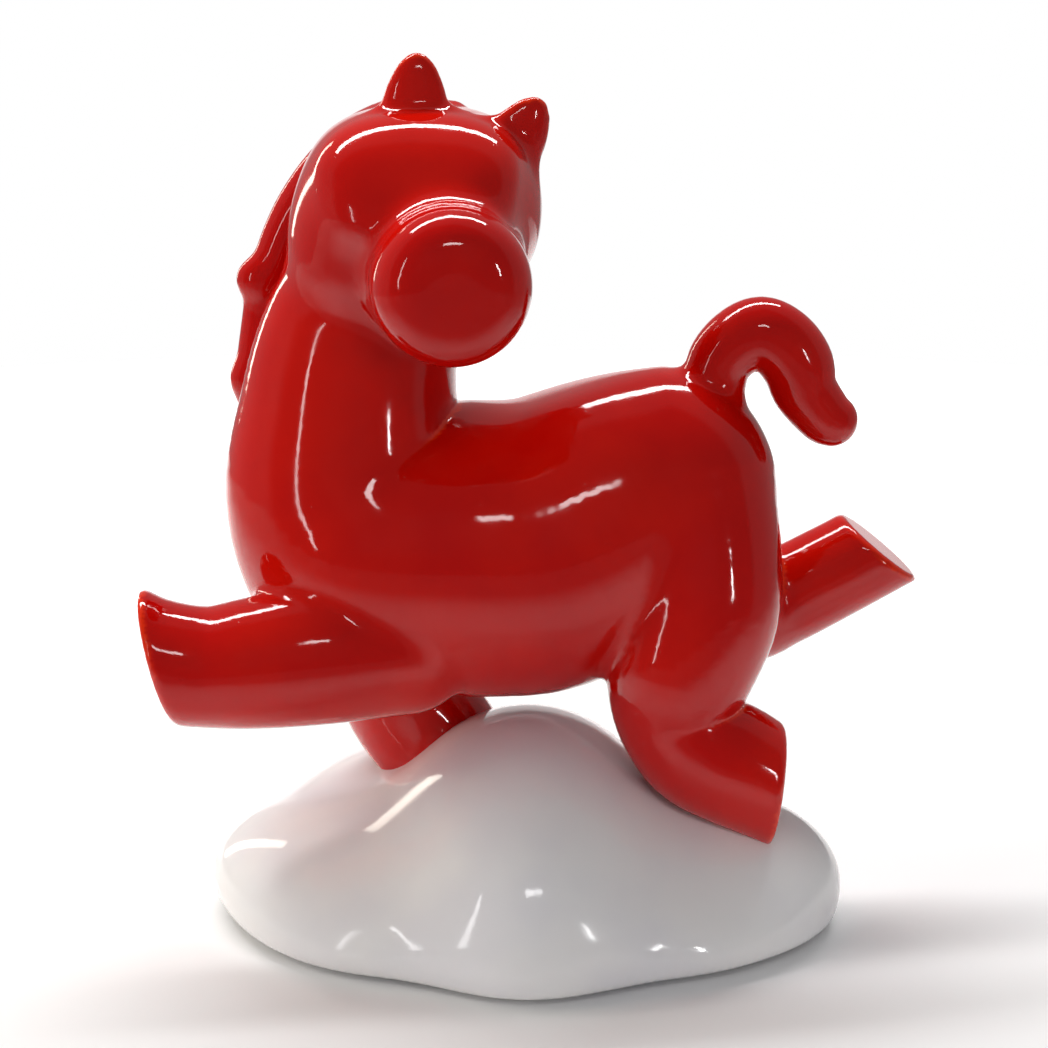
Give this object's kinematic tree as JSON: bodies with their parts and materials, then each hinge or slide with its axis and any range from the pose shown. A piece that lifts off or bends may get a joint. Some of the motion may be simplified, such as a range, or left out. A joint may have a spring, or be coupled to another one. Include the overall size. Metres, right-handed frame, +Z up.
{
  "type": "ceramic horse ornament",
  "caption": "Glossy red ceramic horse with a turned head, scalloped mane, arched tail and flat hooves, leaping over a white glazed cloud base. Free-standing ornament.",
  "frame": {"origin": "middle of the felt's underside, on the surface that the ornament stands on", "axes": "+Z up; the horse faces -X; its left side, the side that the picture shows, is towards -Y"},
  "size_m": [0.1945, 0.1328, 0.2181],
  "materials": {
    "red_glaze": "deep red gloss glaze over white earthenware",
    "white_glaze": "white gloss glaze with a cool tint in the folds",
    "pin_steel": "plain drawn rod",
    "felt": "pale pressed felt"
  },
  "bodies": {
    "root": {"body_shell": "red_glaze", "neck_shell": "red_glaze", "head_shell": "red_glaze", "left_ear": "red_glaze", "right_ear": "red_glaze", "mane": "red_glaze", "tail": "red_glaze", "left_fore_leg": "red_glaze", "right_fore_leg": "red_glaze", "left_hind_leg": "red_glaze", "right_hind_leg": "red_glaze", "cloud_shell": "white_glaze", "fore_dowel": "pin_steel", "hind_dowel": "pin_steel", "base_felt": "felt"}
  },
  "joints": []
}
